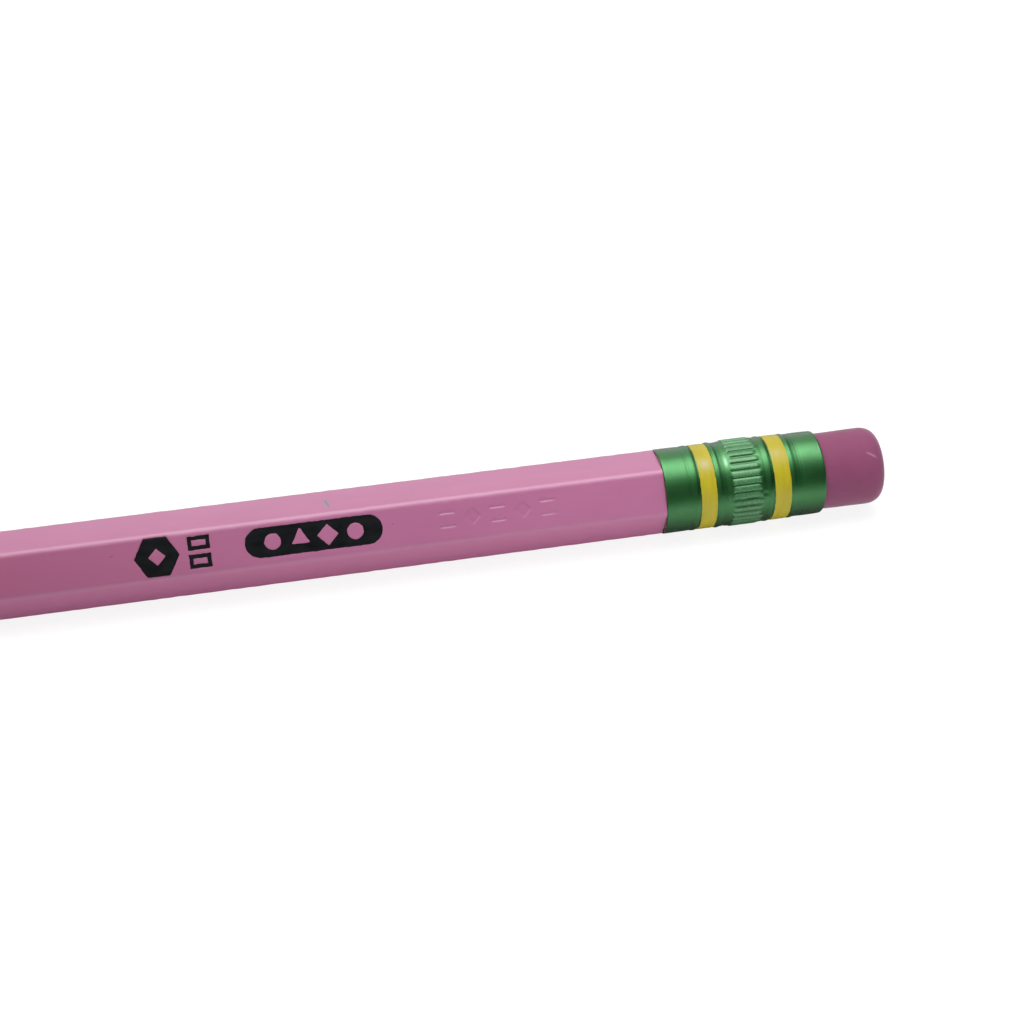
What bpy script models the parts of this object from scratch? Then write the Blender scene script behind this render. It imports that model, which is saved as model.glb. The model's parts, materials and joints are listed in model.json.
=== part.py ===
"""Hexagonal graphite pencil with a fluted metal ferrule and a rubber eraser.

The pencil lies along X with its point at -X and its eraser at +X. The origin is
on the axis at mid-length. Two flats of the barrel face straight up and down, and
the printed flat is the one that leans back from -Y. Lengths are in metres.
"""

import itertools
import math

import bmesh
import bpy
from mathutils import Matrix

MM = 0.001

# Overall: seven and a half inches from point to eraser
LENGTH = 190.5 * MM
TIP_X = -LENGTH / 2
END_X = LENGTH / 2
FILM_GAP = 0.02 * MM
ROUND_STEPS = 48
FERRULE_STEPS = 72

# Barrel
ACROSS_FLATS = 6.9 * MM
CORNER_RADIUS = 1.0 * MM
CORNER_STEPS = 6
LACQUER_THICKNESS = 0.15 * MM
GLUE_THICKNESS = 0.10 * MM
CORE_RADIUS = 1.025 * MM
GLUE_TUBE_THICKNESS = 0.08 * MM

# Sharpened point
POINT_HALF_ANGLE = math.radians(10.5)
TIP_ROUNDING = 0.25 * MM
TIP_ARC_STEPS = 5

# Ferrule and the tenon that it covers
ERASER_EXPOSED = 5.8 * MM
FERRULE_LENGTH = 14.8 * MM
FERRULE_REAR_X = END_X - ERASER_EXPOSED
FERRULE_FRONT_X = FERRULE_REAR_X - FERRULE_LENGTH
FERRULE_BORE_RADIUS = 3.57 * MM
FERRULE_LIP_BORE_RADIUS = 3.535 * MM
TENON_RADIUS = 3.50 * MM
TENON_LENGTH = 7.3 * MM
SHOULDER_GAP = 0.03 * MM
BAND_SPANS = ((3.02 * MM, 4.62 * MM), (9.84 * MM, 11.50 * MM))
BAND_FLOOR_RADII = (3.80 * MM, 3.81 * MM)
BAND_THICKNESS = 0.04 * MM
BAND_END_GAP = 0.03 * MM

# Flutes rolled round the middle of the ferrule
FLUTE_COUNT = 36
FLUTE_SPAN = (6.00 * MM, 8.70 * MM)
FLUTE_WIDTH = 0.18 * MM
FLUTE_FLOOR_RADIUS = 3.86 * MM

# Eraser
ERASER_RADIUS = 3.49 * MM
ERASER_SWELL = 0.04 * MM
ERASER_EDGE_LENGTH = 1.3 * MM
ERASER_EDGE_DEPTH = 0.95 * MM
ERASER_ARC_STEPS = 8
ERASER_TENON_GAP = 0.2 * MM

# Marks on the printed flat. A setback is measured from the ferrule's front edge to
# a mark's middle, and a rise is how far its middle sits above the flat's centre line.
PRINTED_FLAT_TILT = math.radians(60.0)
ROW_RISE = 0.15 * MM
FOIL_THICKNESS = 0.03 * MM
FOIL_GAP = 0.01 * MM
BADGE_SETBACK = 44.95 * MM
BADGE_RADIUS = 1.95 * MM
BADGE_RISE = 0.08 * MM
BADGE_WINDOW_RADIUS = 0.75 * MM
TICK_SETBACK = 41.3 * MM
TICK_SIZE = (1.9 * MM, 1.2 * MM)
TICK_SLOT = (1.2 * MM, 0.5 * MM)
TICK_OFFSET = 0.79 * MM
BAR_SETBACK = 31.4 * MM
BAR_LENGTH = 12.0 * MM
BAR_WIDTH = 2.6 * MM
WINDOW_PITCH = 2.4 * MM
DOT_WINDOW_RADIUS = 0.72 * MM
CORNERED_WINDOW_RADIUS = 0.95 * MM
STAMP_SETBACK = 15.2 * MM
STAMP_PITCH = 2.25 * MM
STAMP_BAR = (1.4 * MM, 0.26 * MM)
STAMP_BAR_OFFSET = 0.6 * MM
STAMP_DIAMOND_RADIUS = 0.75 * MM
STAMP_DEPTH = 0.05 * MM

WOOD_FLATS = ACROSS_FLATS - 2 * (LACQUER_THICKNESS + FILM_GAP)
WOOD_CORNER_RADIUS = CORNER_RADIUS - LACQUER_THICKNESS - FILM_GAP
WOOD_END_X = FERRULE_FRONT_X + TENON_LENGTH
SHOULDER_X = FERRULE_FRONT_X - SHOULDER_GAP
GLUE_BORE_RADIUS = CORE_RADIUS + FILM_GAP
GLUE_TUBE_RADIUS = GLUE_BORE_RADIUS + GLUE_TUBE_THICKNESS
APEX_X = TIP_X - TIP_ROUNDING * (1 / math.sin(POINT_HALF_ANGLE) - 1)
BLANK_RADIUS = 5.0 * MM
OVERRUN = 2.0 * MM


# Scene helpers

def clear_scene():
    for obj in list(bpy.data.objects):
        bpy.data.objects.remove(obj, do_unlink=True)


def new_collection(name):
    made = bpy.data.collections.new(name)
    bpy.context.scene.collection.children.link(made)
    return made


def new_material(name, colour, roughness, metallic=0.0):
    material = bpy.data.materials.new(name)
    material.use_nodes = True
    shader = material.node_tree.nodes["Principled BSDF"]
    shader.inputs["Base Color"].default_value = (*colour, 1.0)
    shader.inputs["Roughness"].default_value = roughness
    shader.inputs["Metallic"].default_value = metallic
    material.diffuse_color = (*colour, 1.0)
    return material


def new_object(name, data, home):
    obj = bpy.data.objects.new(name, data)
    home.objects.link(obj)
    return obj


def mark_as_cutter(obj):
    obj.hide_render = True
    obj.display_type = "WIRE"
    return obj


def combine(obj, tool, operation):
    """Joins, cuts or trims obj with tool: UNION, DIFFERENCE or INTERSECT."""
    modifier = obj.modifiers.new(operation.title(), "BOOLEAN")
    modifier.operation = operation
    modifier.solver = "EXACT"
    modifier.object = tool


def settle(obj, material, sharp_angle=math.radians(30)):
    """Replaces obj's mesh with its finished shape, smooth except at real edges."""
    bpy.context.view_layer.update()
    evaluated = obj.evaluated_get(bpy.context.evaluated_depsgraph_get())
    mesh = bpy.data.meshes.new_from_object(evaluated)
    mesh.name = obj.name
    obj.modifiers.clear()
    obj.data = mesh
    mesh.materials.clear()
    mesh.materials.append(material)
    mesh.shade_smooth()
    mesh.set_sharp_from_angle(angle=sharp_angle)


# Shapes along the pencil's axis

def lay_along_x(obj):
    """Turns a shape made along local Z so that local Z runs along the pencil."""
    obj.rotation_euler = (0.0, math.pi / 2, 0.0)
    return obj


def turned(name, profile, home, closed=False, steps=ROUND_STEPS):
    """Turns a (radius, x) profile, which runs down its outer side from rear to front."""
    mesh = bpy.data.meshes.new(name)
    points = [(radius, 0.0, x) for radius, x in profile]
    edges = [(i, i + 1) for i in range(len(points) - 1)]
    if closed:
        edges.append((len(points) - 1, 0))
    mesh.from_pydata(points, edges, [])
    obj = lay_along_x(new_object(name, mesh, home))
    screw = obj.modifiers.new("Screw", "SCREW")
    screw.axis = "Z"
    screw.angle = 2 * math.pi
    screw.steps = steps
    screw.render_steps = steps
    screw.use_merge_vertices = True
    screw.merge_threshold = 0.000001
    return obj


def rod(name, radius, front_x, rear_x, home):
    profile = [(0.0, rear_x), (radius, rear_x), (radius, front_x), (0.0, front_x)]
    return turned(name, profile, home)


def hexagon_bar(name, across_flats, corner_radius, front_x, rear_x, home):
    """A hexagonal bar with rounded long edges; its corners point to +Y and -Y."""
    depth = rear_x - front_x
    corner_reach = across_flats / 2 / math.cos(math.radians(30))
    bm = bmesh.new()
    bmesh.ops.create_cone(
        bm, cap_ends=True, segments=6, radius1=corner_reach, radius2=corner_reach, depth=depth
    )
    long_edges = [edge for edge in bm.edges if edge.calc_length() > depth / 2]
    bmesh.ops.bevel(
        bm,
        geom=long_edges,
        offset=corner_radius * math.tan(math.radians(30)),
        segments=CORNER_STEPS,
        profile=0.5,
        affect="EDGES",
    )
    bmesh.ops.translate(bm, verts=bm.verts, vec=(0.0, 0.0, (front_x + rear_x) / 2))
    mesh = bpy.data.meshes.new(name)
    bm.to_mesh(mesh)
    bm.free()
    return lay_along_x(new_object(name, mesh, home))


def block(name, low, high, home):
    bm = bmesh.new()
    bmesh.ops.create_cube(bm, size=1.0)
    bmesh.ops.scale(bm, verts=bm.verts, vec=[b - a for a, b in zip(low, high)])
    bmesh.ops.translate(bm, verts=bm.verts, vec=[(a + b) / 2 for a, b in zip(low, high)])
    mesh = bpy.data.meshes.new(name)
    bm.to_mesh(mesh)
    bm.free()
    return new_object(name, mesh, home)


# Sharpening and tenon, shared by the wood, glue and lacquer

def cone_x(radius):
    """Where the sharpened cone reaches a radius."""
    return APEX_X + radius / math.tan(POINT_HALF_ANGLE)


def machining_envelope(home):
    """The space left by the sharpener at the front and the tenon cutter at the rear."""
    profile = [
        (0.0, WOOD_END_X + OVERRUN),
        (TENON_RADIUS, WOOD_END_X + OVERRUN),
        (TENON_RADIUS, SHOULDER_X),
        (BLANK_RADIUS, SHOULDER_X),
        (BLANK_RADIUS, cone_x(BLANK_RADIUS)),
        (0.0, APEX_X),
    ]
    return mark_as_cutter(turned("machining_envelope", profile, home))


# Sub-parts

def graphite_core(home, material):
    profile = [(0.0, WOOD_END_X), (CORE_RADIUS, WOOD_END_X), (CORE_RADIUS, cone_x(CORE_RADIUS))]
    ball_x = TIP_X + TIP_ROUNDING
    for step in range(TIP_ARC_STEPS + 1):
        angle = POINT_HALF_ANGLE + (math.pi / 2 - POINT_HALF_ANGLE) * step / TIP_ARC_STEPS
        radius = TIP_ROUNDING * math.cos(angle)
        if step == TIP_ARC_STEPS:
            radius = 0.0
        profile.append((radius, ball_x - TIP_ROUNDING * math.sin(angle)))
    settle(turned("graphite_core", profile, home), material)


def slat(name, side, envelope, groove, cutters, home, material):
    """One half of the wooden casing; side is +1 for the upper slat, -1 for the lower."""
    half = hexagon_bar(name, WOOD_FLATS, WOOD_CORNER_RADIUS, TIP_X, WOOD_END_X, home)
    face = side * (GLUE_THICKNESS / 2 + FILM_GAP)
    beyond = -side * BLANK_RADIUS
    low = (TIP_X - OVERRUN, -BLANK_RADIUS, min(face, beyond))
    high = (WOOD_END_X + OVERRUN, BLANK_RADIUS, max(face, beyond))
    other_half = mark_as_cutter(block(f"{name}_other_half", low, high, cutters))
    combine(half, other_half, "DIFFERENCE")
    combine(half, groove, "DIFFERENCE")
    combine(half, envelope, "INTERSECT")
    settle(half, material)


def glue_film(envelope, wood_outline, cutters, home, material):
    """The glue line: a sheet on the parting plane and a thin tube round the core."""
    low = (TIP_X, -BLANK_RADIUS, -GLUE_THICKNESS / 2)
    high = (WOOD_END_X + OVERRUN / 2, BLANK_RADIUS, GLUE_THICKNESS / 2)
    film = block("glue_film", low, high, home)
    sleeve = rod("glue_sleeve", GLUE_TUBE_RADIUS, TIP_X, WOOD_END_X + OVERRUN, cutters)
    bore = rod(
        "glue_bore", GLUE_BORE_RADIUS, TIP_X - OVERRUN, WOOD_END_X + 2 * OVERRUN, cutters
    )
    combine(film, mark_as_cutter(sleeve), "UNION")
    combine(film, wood_outline, "INTERSECT")
    combine(film, mark_as_cutter(bore), "DIFFERENCE")
    combine(film, envelope, "INTERSECT")
    settle(film, material)


def lacquer_coat(envelope, cutters, home, material):
    coat = hexagon_bar("lacquer_coat", ACROSS_FLATS, CORNER_RADIUS, TIP_X, WOOD_END_X, home)
    inner = hexagon_bar(
        "lacquer_inside",
        ACROSS_FLATS - 2 * LACQUER_THICKNESS,
        CORNER_RADIUS - LACQUER_THICKNESS,
        TIP_X - OVERRUN,
        WOOD_END_X + OVERRUN,
        cutters,
    )
    combine(coat, mark_as_cutter(inner), "DIFFERENCE")
    combine(coat, stamp_cutter(cutters), "DIFFERENCE")
    combine(coat, envelope, "INTERSECT")
    settle(coat, material)


def bead(centre, half_width, foot, height, steps=3):
    """A rolled bead on the ferrule as (x, radius) points, low to high x."""
    points = []
    for step in range(steps + 1):
        reach = -1 + 2 * step / steps
        swell = height * math.cos(reach * math.pi / 2)
        points.append((centre + reach * half_width, foot + swell))
    return points


def ferrule_outline():
    """The ferrule's outer side as (x from its front edge, radius), front to rear."""
    outline = [(0.0, 3.83 * MM), (0.06 * MM, 3.868 * MM)]
    outline += bead(2.72 * MM, 0.28 * MM, 3.85 * MM, 0.045 * MM)
    outline += [(x, BAND_FLOOR_RADII[0]) for x in BAND_SPANS[0]]
    outline += bead(4.92 * MM, 0.25 * MM, 3.85 * MM, 0.070 * MM)
    outline += bead(7.38 * MM, 1.62 * MM, 3.86 * MM, 0.110 * MM, steps=6)
    outline += bead(9.51 * MM, 0.30 * MM, 3.86 * MM, 0.060 * MM)
    outline += [(x, BAND_FLOOR_RADII[1]) for x in BAND_SPANS[1]]
    outline += bead(11.76 * MM, 0.22 * MM, 3.84 * MM, 0.040 * MM)
    outline += bead(13.25 * MM, 1.00 * MM, 3.81 * MM, 0.015 * MM, steps=2)
    outline += ferrule_curl()
    return outline


def ferrule_curl(steps=3):
    """The rear edge, rolled in towards the eraser as a quarter round."""
    start_radius = 3.80 * MM
    curl = 0.22 * MM
    centre_x = FERRULE_LENGTH - curl
    points = []
    for step in range(1, steps + 1):
        angle = math.pi / 2 * step / steps
        points.append((centre_x + curl * math.sin(angle), start_radius - curl * (1 - math.cos(angle))))
    return points


def ferrule_bore():
    """The ferrule's inner side as (x from its front edge, radius), rear to front."""
    return [
        (FERRULE_LENGTH, FERRULE_LIP_BORE_RADIUS),
        (FERRULE_LENGTH - 0.3 * MM, FERRULE_LIP_BORE_RADIUS),
        (FERRULE_LENGTH - 0.6 * MM, FERRULE_BORE_RADIUS),
        (0.0, FERRULE_BORE_RADIUS),
    ]


def flute_cutter(home):
    """Narrow slots round the ferrule that leave a raised pad between each two."""
    bm = bmesh.new()
    length = FLUTE_SPAN[1] - FLUTE_SPAN[0]
    depth = BLANK_RADIUS - FLUTE_FLOOR_RADIUS
    for index in range(FLUTE_COUNT):
        angle = 2 * math.pi * (index + 0.25) / FLUTE_COUNT
        slot = bmesh.ops.create_cube(bm, size=1.0)["verts"]
        bmesh.ops.scale(bm, verts=slot, vec=(length, FLUTE_WIDTH, depth))
        middle = (
            FERRULE_FRONT_X + (FLUTE_SPAN[0] + FLUTE_SPAN[1]) / 2,
            0.0,
            FLUTE_FLOOR_RADIUS + depth / 2,
        )
        bmesh.ops.translate(bm, verts=slot, vec=middle)
        turn = Matrix.Rotation(angle, 3, "X")
        bmesh.ops.rotate(bm, verts=slot, cent=(0.0, 0.0, 0.0), matrix=turn)
    mesh = bpy.data.meshes.new("flute_slots")
    bm.to_mesh(mesh)
    bm.free()
    return mark_as_cutter(new_object("flute_slots", mesh, home))


def ferrule(cutters, home, material):
    outer = [(radius, FERRULE_FRONT_X + x) for x, radius in reversed(ferrule_outline())]
    inner = [(radius, FERRULE_FRONT_X + x) for x, radius in reversed(ferrule_bore())]
    tube = turned("ferrule", outer + inner, home, closed=True, steps=FERRULE_STEPS)
    combine(tube, flute_cutter(cutters), "DIFFERENCE")
    settle(tube, material)


def enamel_band(name, index, home, material):
    """A painted ring that lies in one of the ferrule's two shallow grooves."""
    front_x = FERRULE_FRONT_X + BAND_SPANS[index][0] + BAND_END_GAP
    rear_x = FERRULE_FRONT_X + BAND_SPANS[index][1] - BAND_END_GAP
    inner = BAND_FLOOR_RADII[index] + FILM_GAP
    outer = inner + BAND_THICKNESS
    profile = [(outer, rear_x), (outer, front_x), (inner, front_x), (inner, rear_x)]
    settle(turned(name, profile, home, closed=True, steps=FERRULE_STEPS), material)


def eraser_plug(home, material):
    front_x = WOOD_END_X + ERASER_TENON_GAP
    swollen = ERASER_RADIUS + ERASER_SWELL
    profile = [(0.0, END_X)]
    for step in range(ERASER_ARC_STEPS + 1):
        angle = math.pi / 2 * step / ERASER_ARC_STEPS
        radius = swollen - ERASER_EDGE_DEPTH * (1 - math.sin(angle))
        profile.append((radius, END_X - ERASER_EDGE_LENGTH * (1 - math.cos(angle))))
    profile += [(ERASER_RADIUS, FERRULE_REAR_X), (ERASER_RADIUS, front_x), (0.0, front_x)]
    settle(turned("eraser_plug", profile, home), material, math.radians(50))


# Marks on the printed flat

def on_printed_flat(obj, setback, rise, lift):
    """Places a shape drawn in its own XY plane on the printed flat, lift above it."""
    height = ACROSS_FLATS / 2 + lift
    tilt = PRINTED_FLAT_TILT
    obj.rotation_euler = (tilt, 0.0, 0.0)
    obj.location = (
        FERRULE_FRONT_X - setback,
        rise * math.cos(tilt) - height * math.sin(tilt),
        rise * math.sin(tilt) + height * math.cos(tilt),
    )
    return obj


def oval_outline(half_length, half_width, sides, centre_x=0.0, start_angle=0.0):
    """An oval, or with few sides a triangle, diamond or hexagon, drawn anticlockwise."""
    points = []
    for side in range(sides):
        angle = start_angle + 2 * math.pi * side / sides
        points.append((centre_x + half_length * math.cos(angle), half_width * math.sin(angle)))
    return points


def box_outline(length, width):
    """A plain rectangle centred on the origin and drawn anticlockwise."""
    corners = ((-1, -1), (1, -1), (1, 1), (-1, 1))
    return [(along * length / 2, up * width / 2) for along, up in corners]


def stadium_outline(length, width, steps):
    """A bar with round ends, centred on the origin and drawn anticlockwise."""
    half_straight = (length - width) / 2
    points = []
    for end, start_angle in ((1, -math.pi / 2), (-1, math.pi / 2)):
        for step in range(steps + 1):
            angle = start_angle + math.pi * step / steps
            along = end * half_straight + width / 2 * math.cos(angle)
            points.append((along, width / 2 * math.sin(angle)))
    return points


def foil(name, outlines, setback, rise, home, material):
    """A stamped foil film; outlines after the first are windows in it."""
    curve = bpy.data.curves.new(name, "CURVE")
    curve.dimensions = "2D"
    curve.fill_mode = "BOTH"
    curve.extrude = FOIL_THICKNESS / 2
    for outline in outlines:
        spline = curve.splines.new("POLY")
        spline.points.add(len(outline) - 1)
        for point, (along, up) in zip(spline.points, outline):
            point.co = (along, up, 0.0, 1.0)
        spline.use_cyclic_u = True
    curve.materials.append(material)
    film = new_object(name, curve, home)
    on_printed_flat(film, setback, rise, FOIL_GAP + FOIL_THICKNESS / 2)


def bar_windows():
    """Four plain windows along the bar: dot, triangle, diamond, dot."""
    dot = (20, DOT_WINDOW_RADIUS, 0.0)
    triangle = (3, CORNERED_WINDOW_RADIUS, math.pi / 2)
    diamond = (4, CORNERED_WINDOW_RADIUS, 0.0)
    shapes = (dot, triangle, diamond, dot)
    first = -WINDOW_PITCH * (len(shapes) - 1) / 2
    return [
        oval_outline(radius, radius, sides, first + WINDOW_PITCH * place, start_angle)
        for place, (sides, radius, start_angle) in enumerate(shapes)
    ]


def foil_marks(home, material):
    badge_window = oval_outline(BADGE_WINDOW_RADIUS, BADGE_WINDOW_RADIUS, 4)
    badge = [oval_outline(BADGE_RADIUS, BADGE_RADIUS, 6), badge_window]
    foil("foil_badge", badge, BADGE_SETBACK, BADGE_RISE, home, material)
    tick = [box_outline(*TICK_SIZE), box_outline(*TICK_SLOT)]
    foil("foil_tick_upper", tick, TICK_SETBACK, BADGE_RISE + TICK_OFFSET, home, material)
    foil("foil_tick_lower", tick, TICK_SETBACK, BADGE_RISE - TICK_OFFSET, home, material)
    bar = [stadium_outline(BAR_LENGTH, BAR_WIDTH, 8)] + bar_windows()
    foil("foil_bar", bar, BAR_SETBACK, ROW_RISE, home, material)


def stamp_cutter(home):
    """A row of paired bars and diamonds pressed without foil into the lacquer."""
    bm = bmesh.new()
    depth = 2 * STAMP_DEPTH
    for place in (-1, 1):
        made = bmesh.ops.create_cone(
            bm,
            cap_ends=True,
            segments=4,
            radius1=STAMP_DIAMOND_RADIUS,
            radius2=STAMP_DIAMOND_RADIUS,
            depth=depth,
        )
        bmesh.ops.translate(bm, verts=made["verts"], vec=(place * STAMP_PITCH, 0.0, 0.0))
    for place, side in itertools.product((-2, 0, 2), (-1, 1)):
        made = bmesh.ops.create_cube(bm, size=1.0)
        bmesh.ops.scale(bm, verts=made["verts"], vec=(*STAMP_BAR, depth))
        middle = (place * STAMP_PITCH, side * STAMP_BAR_OFFSET, 0.0)
        bmesh.ops.translate(bm, verts=made["verts"], vec=middle)
    mesh = bpy.data.meshes.new("stamp_row")
    bm.to_mesh(mesh)
    bm.free()
    stamp = new_object("stamp_row", mesh, home)
    return mark_as_cutter(on_printed_flat(stamp, STAMP_SETBACK, ROW_RISE, 0.0))


def build():
    clear_scene()
    home = new_collection("graphite_pencil")
    cutters = new_collection("cutters")

    graphite = new_material("graphite", (0.05, 0.05, 0.055), 0.45, 0.3)
    wood = new_material("wood", (0.60, 0.40, 0.24), 0.75)
    glue = new_material("glue", (0.70, 0.58, 0.36), 0.5)
    lacquer = new_material("pink_lacquer", (0.45, 0.13, 0.26), 0.3)
    metal = new_material("green_ferrule", (0.08, 0.30, 0.12), 0.3, 1.0)
    enamel = new_material("yellow_enamel", (0.60, 0.48, 0.05), 0.35)
    rubber = new_material("eraser_rubber", (0.32, 0.08, 0.19), 0.8)
    black = new_material("black_foil", (0.01, 0.012, 0.015), 0.4)

    envelope = machining_envelope(cutters)
    groove = mark_as_cutter(
        rod(
            "lead_groove",
            GLUE_TUBE_RADIUS + FILM_GAP,
            TIP_X - OVERRUN,
            WOOD_END_X + OVERRUN,
            cutters,
        )
    )
    wood_outline = mark_as_cutter(
        hexagon_bar(
            "wood_outline", WOOD_FLATS, WOOD_CORNER_RADIUS, TIP_X - OVERRUN, WOOD_END_X, cutters
        )
    )

    graphite_core(home, graphite)
    slat("slat_upper", 1, envelope, groove, cutters, home, wood)
    slat("slat_lower", -1, envelope, groove, cutters, home, wood)
    glue_film(envelope, wood_outline, cutters, home, glue)
    lacquer_coat(envelope, cutters, home, lacquer)
    ferrule(cutters, home, metal)
    enamel_band("enamel_band_front", 0, home, enamel)
    enamel_band("enamel_band_rear", 1, home, enamel)
    eraser_plug(home, rubber)
    foil_marks(home, black)


build()
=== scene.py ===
"""Looks for the hexagonal graphite pencil: fine meshes, finishes, light and camera.

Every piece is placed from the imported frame. The pencil lies along X with its point at
-X, two flats of its barrel face straight up and down, and the printed flat leans back
from -Y. Angles round the axis start at +Y and turn towards +Z. Lengths are in metres
where nothing says millimetres.
"""

import json
import math

import bmesh
import bpy
import numpy as np
from mathutils import Matrix, Vector

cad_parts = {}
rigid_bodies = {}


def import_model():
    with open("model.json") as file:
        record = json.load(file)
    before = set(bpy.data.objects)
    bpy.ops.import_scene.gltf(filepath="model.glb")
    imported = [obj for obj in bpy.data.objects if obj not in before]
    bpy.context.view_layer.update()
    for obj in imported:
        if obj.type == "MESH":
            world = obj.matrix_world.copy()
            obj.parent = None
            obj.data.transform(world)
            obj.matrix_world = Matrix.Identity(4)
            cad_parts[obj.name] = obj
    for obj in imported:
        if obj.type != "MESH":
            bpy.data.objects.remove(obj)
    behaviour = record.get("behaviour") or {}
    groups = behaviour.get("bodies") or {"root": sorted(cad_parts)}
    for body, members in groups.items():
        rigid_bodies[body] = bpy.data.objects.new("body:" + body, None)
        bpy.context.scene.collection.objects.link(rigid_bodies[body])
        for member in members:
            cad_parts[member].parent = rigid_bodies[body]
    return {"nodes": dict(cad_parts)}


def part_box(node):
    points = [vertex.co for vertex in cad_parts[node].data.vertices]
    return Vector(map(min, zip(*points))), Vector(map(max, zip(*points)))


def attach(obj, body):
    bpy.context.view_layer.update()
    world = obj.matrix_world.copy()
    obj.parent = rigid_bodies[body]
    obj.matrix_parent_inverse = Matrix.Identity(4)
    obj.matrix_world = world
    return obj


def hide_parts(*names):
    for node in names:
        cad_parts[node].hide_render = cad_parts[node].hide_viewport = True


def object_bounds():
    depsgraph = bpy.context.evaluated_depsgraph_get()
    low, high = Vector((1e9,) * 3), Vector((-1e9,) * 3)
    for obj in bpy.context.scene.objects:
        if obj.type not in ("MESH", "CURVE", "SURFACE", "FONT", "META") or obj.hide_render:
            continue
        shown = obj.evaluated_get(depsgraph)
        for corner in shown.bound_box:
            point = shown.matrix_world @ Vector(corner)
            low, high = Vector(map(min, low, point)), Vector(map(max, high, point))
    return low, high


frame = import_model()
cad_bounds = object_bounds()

MM = 0.001
TURN = 2 * math.pi
COS30 = math.cos(math.radians(30))
TAN30 = math.tan(math.radians(30))

# Reference places and sizes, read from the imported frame
CORE_LOW, CORE_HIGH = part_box("graphite_core")
SLAT_LOW, SLAT_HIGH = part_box("slat_upper")
COAT_LOW, COAT_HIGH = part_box("lacquer_coat")
FERRULE_LOW, FERRULE_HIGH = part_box("ferrule")
ERASER_LOW, ERASER_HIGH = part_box("eraser_plug")
FERRULE_FRONT = FERRULE_LOW.x
FERRULE_LENGTH = FERRULE_HIGH.x - FERRULE_FRONT
JOINT = Vector((FERRULE_FRONT, 0.0, 0.0))
BAND_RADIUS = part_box("enamel_band_front")[1].z
PARTING_FACE = SLAT_LOW.z


def corner_radius(half_flats, reach):
    """Radius of the long edges of a hexagon whose corners reach this far from its axis."""
    return (half_flats / COS30 - reach) / (1 / COS30 - 1)


# Barrel and sharpened point. The coat's edges are crisper than the CAD's, and its flats
# are crowned, which keeps the corners at the CAD's reach.
COAT_HALF = COAT_HIGH.z
COAT_CORNER = 0.72 * corner_radius(COAT_HALF, COAT_HIGH.y)
COAT_CROWN = 0.04 * MM
WOOD_HALF = SLAT_HIGH.z
WOOD_CORNER = corner_radius(WOOD_HALF, SLAT_HIGH.y)
COAT_THICKNESS = 0.15 * MM
COAT_REAR = FERRULE_FRONT - 0.03 * MM
TENON_RADIUS = 3.50 * MM
POINT_ANGLE = math.radians(10.5)
APEX_X = COAT_LOW.x - (COAT_HALF - COAT_THICKNESS) / math.tan(POINT_ANGLE)
CORE_RADIUS = CORE_HIGH.z
TIP_RADIUS = 0.25 * MM
GROOVE_RADIUS = CORE_RADIUS + 0.12 * MM
PRINTED_ANGLE = math.radians(150)
SCALLOP_REACH = 8 * MM
CHIP_SIZE = 0.08 * MM
FLAT_WAVES = 0.003 * MM
CORNER_WAVES = 0.016 * MM
# Stretch along X for painted shade and duller gloss: none 35 mm in front of the ferrule, full from
# 65 mm on to the point
SHADED_DULL_SPAN = (FERRULE_FRONT - 35 * MM, FERRULE_FRONT - 65 * MM)

# Marks that the sharpener's blade leaves on the wood: depth and spacing
FINE_MARKS = (0.004 * MM, 0.42 * MM)
BROAD_MARKS = (0.006 * MM, 1.3 * MM)
BLADE_DEPTH = 0.008 * MM

# Foil marks and the blind stamped row on the printed flat
PRESS_DEPTH = 0.03 * MM
PRESS_EDGE = 0.08 * MM
FILM_THICKNESS = 0.012 * MM
FILM_GAP = 0.003 * MM
STAMP_DEPTH = 0.065 * MM
STAMP_EDGE = 0.13 * MM
STAMP_SETBACK = 15.2 * MM
STAMP_PITCH = 2.25 * MM
STAMP_BAR = (1.4 * MM, 0.26 * MM)
STAMP_BAR_OFFSET = 0.6 * MM
STAMP_DIAMOND_RADIUS = 0.75 * MM

# Ferrule, in mm unless MM is given: its outline's distances from its front edge and radii
FERRULE_BASE = (
    (0.00, 3.830), (0.03, 3.856), (0.08, 3.868), (2.44, 3.850), (3.00, 3.850), (3.03, 3.800),
    (4.61, 3.800), (4.66, 3.850), (5.12, 3.868), (5.54, 3.828), (5.64, 3.828), (5.74, 3.850),
    (5.88, 3.874), (6.00, 3.878), (9.00, 3.878), (9.28, 3.845), (9.80, 3.860), (9.85, 3.810),
    (11.49, 3.810), (11.53, 3.840), (11.98, 3.840), (12.25, 3.810), (14.25, 3.810),
    (14.58, 3.800),
)
FERRULE_BEADS = (  # middle, half width and height of each
    (2.72, 0.28, 0.045),
    (4.92, 0.22, 0.060),
    (9.51, 0.30, 0.060),
    (11.76, 0.22, 0.040),
    (13.25, 1.00, 0.015),
)
SCORE_LINES = (2.18, 2.36, 12.42, 12.62)
SCORE_HALF_WIDTH = 0.08
SCORE_DEPTH = 0.020
CURL_RADIUS = 0.22 * MM
BORE_RADIUS = 3.57 * MM
LIP_RADIUS = 3.535 * MM
PAD_COUNT = 36
PAD_RADIUS = 3.95
PAD_SPAN = (6.12, 8.86)
PAD_RISE = 0.095
GROOVE_DEPTH = 0.020
GROOVE_HALF_WIDTH = 0.11
FIRST_GROOVE_ANGLE = math.radians(92.5)
HANDLING_WAVES = 0.0035
KNOCKS = (  # place, degrees round the axis, half length and half width of each
    (7.75, 169.6, 0.45, 0.20),
    (9.00, 168.0, 0.30, 0.20),
)
KNOCK_DEPTH = 0.035

# Enamel bands
BAND_INSET = 0.10 * MM
BAND_THICKNESS = 0.055 * MM
BAND_EDGE_DROP = 0.022 * MM
BAND_EDGE_WANDER = 0.022 * MM
BAND_FLOW = 0.004 * MM

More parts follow.
